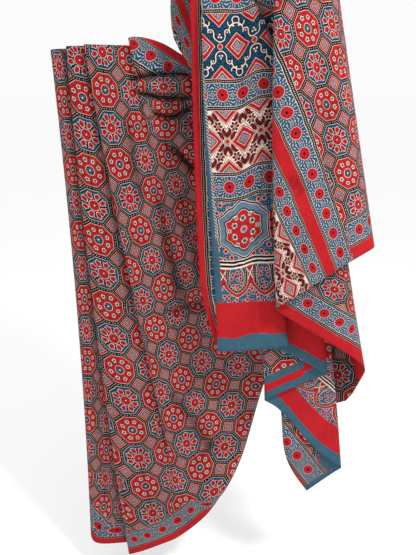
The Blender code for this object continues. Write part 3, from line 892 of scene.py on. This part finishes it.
# A lattice's scrolls are parts of circles beside a disc: sideways and up from it, the radius, and the
# height that the part keeps under (1) or over (-1).
scrollColumns = ("x", "y", "radius", "side", "limit")
scrollParts = {
    "cup":        (0.0000, 0.0172, 0.0098, 1, 0.0215),
    "cup's hook": (0.0142, 0.0228, 0.0044, -1, 0.0205),
    "long bend":  (0.0292, 0.0262, 0.0110, -1, 0.0240),
    "far curl":   (0.0205, 0.0375, 0.0046, 1, 0.0400),
    "far cup":    (0.0300, 0.0420, 0.0058, -1, 0.0390),
}


def lattice(s, t):
    # diamonds between crossing stems; the two lattices differ in their ground
    wide, high, every = 0.060, 0.105, layout["lattices"]
    a = nearest(t, wide, -0.0137)
    b = maths("PINGPONG", s - (layout["firstLattice"] - 4 * every), every / 2)      # from its middle line
    blueOne = above(s, 0.446, 0.002) * below(t, 1.0, 0.1)
    d = lowest(a / 0.0215 + b / 0.0225, (wide / 2 - a) / 0.0215 + (high / 2 - b) / 0.0225)
    beside = wide / 2 - a
    stems = None
    for part in scrollParts.values():
        c = dict(zip(scrollColumns, part))
        arc = abs(size(beside - c["x"], b - c["y"]) - c["radius"])
        arc = arc + (above(b, c["limit"], 0.001) if c["side"] > 0 else below(b, c["limit"], 0.001))
        stems = arc if stems is None else lowest(stems, arc)
    trefoil = lowest(size(beside - 0.0024, b - 0.0150), size(beside, b - 0.0195))
    leaves = lowest(size(beside - 0.0142, b - 0.0228), size(beside - 0.0255, b - 0.0330))
    blueGround = layers(
        dyes["indigo"],
        (below(scattered(s, t, 300.0), 0.42, 0.15), "navy"),
        (below(stems, 0.0026, 0.0010), "navy"),
        (below(lowest(trefoil, leaves), 0.0032, 0.0010), "navy"),
        (below(stems, 0.0008, 0.0006), "cream"),
        (below(trefoil, 0.0016, 0.0006), "cream"),
        (below(leaves, 0.0014, 0.0006), "cream"),
    )
    # along the strip from a disc up to the rope (q), and sideways from its middle line (n)
    q = b * 0.868 + beside * 0.496 - 0.0302
    n = b * 0.496 - beside * 0.868
    flowerR, flowerTurn = size(q, n), maths("PINGPONG", maths("ARCTAN2", n, q), math.pi / 6)
    outF, sideF = polar(flowerR, flowerTurn)
    petal = size(outF - 0.0056, sideF * 1.25)
    leaf = size((abs(q) - 0.0158) * 0.40, abs(n) - 0.0043)
    redGround = layers(
        dyes["cream"],
        (above(abs(n), 0.0098, 0.0006), "black"),
        (above(abs(n), 0.0106, 0.0006), "cream"),
        (below(petal, 0.0031, 0.0006), "maroon"),
        (between(flowerR, 0.0008, 0.0022, 0.0006), "maroon"),
        (below(leaf, 0.0035, 0.0006), "maroon"),
        (below(leaf, 0.0006, 0.0005), "red"),
        (below(abs(n), 0.0007, 0.0006) * between(abs(q), 0.0085, 0.0235, 0.001), "maroon"),
        (below(size(abs(q) - 0.0085, abs(n) - 0.0072), 0.0019, 0.0006), "maroon"),
        (between(beside, 0.0016, 0.0024, 0.0005) * between(b, 0.006, 0.020, 0.001), "black"),
    )
    disc = size(beside, b)
    inside = flowers(dyes["paleBlue"], s, t, 190.0)
    return layers(
        paint(redGround, blueGround, blueOne),
        (below(d, 1.12, 0.03) * (1.0 - blueOne), "cream"),
        *discs(d, 0.03, (1.07, "black"), (1.00, "cream"), (0.95, "red")),
        (between(d, 0.72, 0.76, 0.03), "deepRed"),
        *discs(d, 0.03, (0.60, "cream"), (0.54, "rope"), (0.45, inside)),
        *discs(disc, 0.0006, (0.0060, "black"), (0.0048, "cream"), (0.0040, "red")),
    )


def medallions(s, t):
    # lobed medallions, pointed towards the bands on either side, with barred pillars between
    mx, my = nearest(t, layout["medallions"], -0.026), abs(s - 0.213)
    x, y = mx / 0.0480, my / 0.0520
    r, turn = size(x, y), maths("ARCTAN2", y, x)
    m = highest(x, x * 0.60 + y * 0.96) * 0.75 + r * 0.25 + maths("SINE", turn * 12.0) * 0.020
    ground = layers(dyes["indigo"], (below(scattered(s, t, 230.0), 0.11, 0.1), "cream"))
    ground = flowers(ground, s, t, 75.0, least=0.27)
    ring = layers(dyes["paleBlue"], (below(scattered(s, t, 420.0), 0.22, 0.2), "rope"))
    fromSmall = maths("PINGPONG", turn, math.pi / 6)
    fromLarge = math.pi / 6 - fromSmall
    (outL, sideL), (outS, sideS) = polar(r, fromLarge), polar(r, fromSmall)
    large, small = size(outL - 0.40, sideL), size(outS - 0.54, sideS)
    star = lowest(large - 0.026, small) + maths("COSINE", maths("ARCTAN2", x, y) * 36.0) * 0.016
    centre = layers(
        dyes["red"],
        *discs(star, 0.02, (0.090, "black"), (0.074, "cream"), (0.052, "paleBlue"), (0.016, "black")),
        *discs(r, 0.02, (0.12, "cream"), (0.10, "paleBlue"), (0.045, "red")),
    )
    pillar = between(mx, 0.0465, 0.06, 0.001) * below(my, 0.023, 0.001)
    waist = nearest(s, 0.0155, 0.2053)
    return layers(
        ground,
        (pillar, "red"),
        (pillar * below(waist, 0.0022, 0.0008), "black"),
        *discs(m, 0.02, (1.03, "cream"), (1.01, "black"), (0.95, "cream"), (0.93, ring), (0.73, "black"),
               (0.68, "cream"), (0.66, centre)),
    )


def arches(s, t):
    # a row of horseshoe arches, pointed at their feet, each in a red band
    ax = nearest(t, 0.0510, 0.0055)
    y = s - 0.085
    out, low = ax / 0.0175, 0.033 - y
    arch = size(out, highest(low / 0.0150, low / 0.036) + out * 0.30)
    plain = layers(dyes["indigo"], (below(scattered(s, t, 240.0), 0.11, 0.1), "cream"))
    plain = flowers(plain, s, t, 105.0, least=0.30)
    cross = abs((0.0255 - ax) - abs(y - 0.047) * 0.6)
    ropeDots = wave(s, 1900.0, 0.3) * wave(t, 1900.0, 0.3)
    return layers(
        plain,
        *discs(arch, 0.03, (1.60, "cream"), (1.55, "black"), (1.49, "red")),
        (below(cross, 0.0022, 0.0008) * between(y, 0.036, 0.058, 0.001), "black"),
        (below(cross, 0.0010, 0.0006) * between(y, 0.037, 0.057, 0.001), "cream"),
        *discs(arch, 0.03, (1.18, "cream"), (1.14, "black")),
        (between(arch, 0.90, 1.05, 0.03) * ropeDots, "cream"),
        *discs(arch, 0.03, (0.82, "cream"), (0.78, plain)),
        (above(y, 0.0600, 0.001), "cream"),
    )


def endPrint(field, s, t):
    # the bands from the cloth's end on
    every = layout["lattices"]
    # from the middle of a band of rosettes, half way between two lattices
    fromBand = maths("PINGPONG", s - (layout["firstLattice"] - 4.5 * every), every / 2)
    soft = 0.0008
    lined = below(t, 1.0, 0.1)
    lines = nearest(s, 0.0065, 0.1500)
    beside = between(t, -0.3, layout["tealStrip"], soft)
    ticks = above(t, layout["tealStrip"] - 0.004, soft) * wave(s + t, 1100.0, 0.6)
    return layers(
        field,
        (between(s, -0.063, 0.021, soft), "teal"),
        (between(s, -0.042, -0.021, soft), "red"),
        (between(s, 0.021, 0.0855, soft), "red"),
        (between(s, 0.085, 0.147, soft) * lined, arches(s, t)),
        (between(s, 0.085, 0.160, soft) * above(t, 1.0, 0.1), "red"),
        (between(s, 0.146, 0.160, soft) * lined, "cream"),
        (between(s, 0.147, 0.159, soft) * below(lines, 0.0019, 0.0006) * lined, "black"),
        (between(s, 0.160, 0.268, soft), medallions(s, t)),
        (between(s, 0.31, 0.59, soft), lattice(s, t)),
        (between(s, 0.266, 0.626, soft) * below(fromBand, 0.0252, soft), rosetteBand(fromBand, t + 0.010)),
        (between(s, 0.626, 0.661, soft), "red"),
        (beside * between(s, 0.085, 0.626, soft), "teal"),
        (ticks * beside * between(s, 0.2, 0.5, soft), "cream"),
    )


cotton = {
    "roughness": 0.88,
    "specular": 0.08,
    "sheen": 0.02,
    "slip": (45.0, 0.0032),          # the blocks never land quite true: the wander's scale and its width
    "uneven": {                      # dye that took unevenly: scale, detail, stretch and strength
        "blotches": (24.0, 4.0, (1, 1, 1), 0.50),
        "grain": (210.0, 3.0, (1, 1, 1), 0.55),
        "warp": (120.0, 2.0, (1, 9, 1), 0.30),
        "weft": (120.0, 2.0, (9, 1, 1), 0.30),
    },
    "shade": 0.75,                   # how much darker the painted shade makes the print at its deepest, down in a crease
    "threads": 9000.0,               # radians a metre
    "bump": (0.15, 0.0003),          # its strength and its height in metres
}


def ajrakhCotton():
    material = bpy.data.materials.new("ajrakh_cotton")
    material.use_nodes = True
    tree = Term.tree = material.node_tree
    surface = tree.nodes["Principled BSDF"]
    surface.inputs["Roughness"].default_value = cotton["roughness"]
    surface.inputs["Specular IOR Level"].default_value = cotton["specular"]
    surface.inputs["Sheen Weight"].default_value = cotton["sheen"]

    def uvMap(name):
        node = tree.nodes.new("ShaderNodeUVMap")
        node.uv_map = name
        return node.outputs[0]

    def place(name):
        scale, slip = cotton["slip"]
        source = uvMap(name)
        wander = tree.nodes.new("ShaderNodeTexNoise")
        wander.noise_dimensions = "2D"
        wander.inputs["Scale"].default_value = scale
        wander.inputs["Detail"].default_value = 2.0
        tree.links.new(source, wander.inputs["Vector"])
        centred = tree.nodes.new("ShaderNodeVectorMath")
        centred.operation = "MULTIPLY_ADD"
        centred.inputs[1].default_value = (slip, slip, 0)
        centred.inputs[2].default_value = (-slip / 2, -slip / 2, 0)
        tree.links.new(wander.outputs["Color"], centred.inputs[0])
        moved = tree.nodes.new("ShaderNodeVectorMath")
        tree.links.new(source, moved.inputs[0])
        tree.links.new(centred.outputs[0], moved.inputs[1])
        split = tree.nodes.new("ShaderNodeSeparateXYZ")
        tree.links.new(moved.outputs[0], split.inputs[0])
        return Term(split.outputs[0]), Term(split.outputs[1])

    def noise(source, scale, detail, stretch):
        turned = tree.nodes.new("ShaderNodeMapping")
        turned.inputs["Scale"].default_value = stretch
        tree.links.new(source, turned.inputs["Vector"])
        node = tree.nodes.new("ShaderNodeTexNoise")
        node.inputs["Scale"].default_value = scale
        node.inputs["Detail"].default_value = detail
        tree.links.new(turned.outputs[0], node.inputs["Vector"])
        return Term(node.outputs[0]) - 0.5

    u, v = place("field")
    s, t = place("band")
    e, w = place("edge")
    soft = 0.0008
    field = fieldPrint(u, v)
    whole = layers(
        field,
        (below(s, layout["bandsEnd"], soft), endPrint(field, s, t)),
        (between(s, 0.660, layout["bandsEnd"], soft), rosetteBand(s - layout["lastRow"], t + 0.010)),
        (below(e, layout["fieldStart"], soft), rosetteBand(e - layout["edgeRow"], w)),
        (below(e, layout["hemWidth"], soft), "red"),
        (between(s, -0.021, -0.0004, soft), "teal"),
    )
    onObject, onField = tree.nodes.new("ShaderNodeTexCoord").outputs["Object"], uvMap("field")
    dyed = 1.0
    for name, (scale, detail, stretched, strength) in cotton["uneven"].items():
        source = onField if name in ("warp", "weft") else onObject
        dyed = noise(source, scale, detail, stretched) * strength + dyed
    # painted shade: the print is darkened by the shade values kept on the mesh for creases, pleat edges and
    # folds lying back in shade, on top of the uneven dye
    trough = tree.nodes.new("ShaderNodeAttribute")
    trough.attribute_name = "paintedShade"
    dyeAndPaintedShade = dyed * (1.0 - Term(trough.outputs["Fac"]) * cotton["shade"])
    shade = tree.nodes.new("ShaderNodeHueSaturation")
    tree.links.new(dyeAndPaintedShade.socket, shade.inputs["Value"])
    tree.links.new(whole, shade.inputs["Color"])
    tree.links.new(shade.outputs[0], surface.inputs["Base Color"])
    threads = maths("SINE", u * cotton["threads"]) * maths("SINE", v * cotton["threads"])
    bump = tree.nodes.new("ShaderNodeBump")
    bump.inputs["Strength"].default_value, bump.inputs["Distance"].default_value = cotton["bump"]
    tree.links.new(threads.socket, bump.inputs["Height"])
    tree.links.new(bump.outputs[0], surface.inputs["Normal"])
    print("ajrakh print nodes", len(tree.nodes))
    return material


sheet = meshOf("cloth_sheet", middle, grid(*middle.shape[:2]))
for name, values in maps.items():
    layer = sheet.data.uv_layers.new(name=name)
    layer.data.foreach_set("uv", values.reshape(-1).astype(np.float32))
# the painted shade goes on the mesh as a value at each point
shading = sheet.data.attributes.new("paintedShade", "FLOAT", "POINT")
shading.data.foreach_set("value", np.clip(paintedShade, 0, 1).reshape(-1))
sheet.data.materials.append(ajrakhCotton())
solid = sheet.modifiers.new("thickness", "SOLIDIFY")
solid.thickness = cloth["thickness"]
solid.offset = 0.0
print("cloth sheet made")

# room, light and camera
bpy.context.scene.view_settings.view_transform = "Standard"
room = {
    "floorZ": -1.30,
    "floorSize": 80,                   # to each side
    "cameraAt": (-0.075, -1.28, -0.23),
    "tilt": math.radians(15),          # below level
    "focal": 714 * 36 / 555,           # mm on a 36 mm frame held upright
    "white": 0.97,                     # how bright the studio is around it
}
# Each lamp: where it is, what it aims at, how large it is and its watts.
lamps = {
    "key": ((0.80, -1.25, 0.85), (0.05, 0, -0.35), 0.30, 27),
    "left": ((-1.5, -1.2, 0.8), (-0.1, 0, -0.45), 0.5, 2),
}
ground = np.array([(-1, -1, 0), (1, -1, 0), (1, 1, 0), (-1, 1, 0)]) * room["floorSize"]
floor = meshOf("floor", ground + (0, 0, room["floorZ"]), np.array([[0, 1, 2, 3]]))
pale = bpy.data.materials.new("pale_floor")
pale.use_nodes = True
pale.node_tree.nodes["Principled BSDF"].inputs["Base Color"].default_value = (0.99, 0.99, 0.99, 1)
floor.data.materials.append(pale)

world = bpy.data.worlds.new("studio")
world.use_nodes = True
world.node_tree.nodes["Background"].inputs["Color"].default_value = (1, 1, 1, 1)
world.node_tree.nodes["Background"].inputs["Strength"].default_value = room["white"]
bpy.context.scene.world = world


for name, (at, aim, wide, watts) in lamps.items():
    lamp = bpy.data.lights.new(name, "AREA")
    lamp.size, lamp.energy = wide, watts
    holder = bpy.data.objects.new(name, lamp)
    holder.location = at
    holder.rotation_euler = (Vector(aim) - Vector(at)).to_track_quat("-Z", "Y").to_euler()
    bpy.context.scene.collection.objects.link(holder)

camera = bpy.data.cameras.new("camera")
camera.lens = room["focal"]
camera.sensor_width = 36
viewer = bpy.data.objects.new("camera", camera)
viewer.location = room["cameraAt"]
viewer.rotation_euler = (math.radians(90) - room["tilt"], 0, 0)
bpy.context.scene.collection.objects.link(viewer)
bpy.context.scene.camera = viewer

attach(sheet, "root")
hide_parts("cloth")
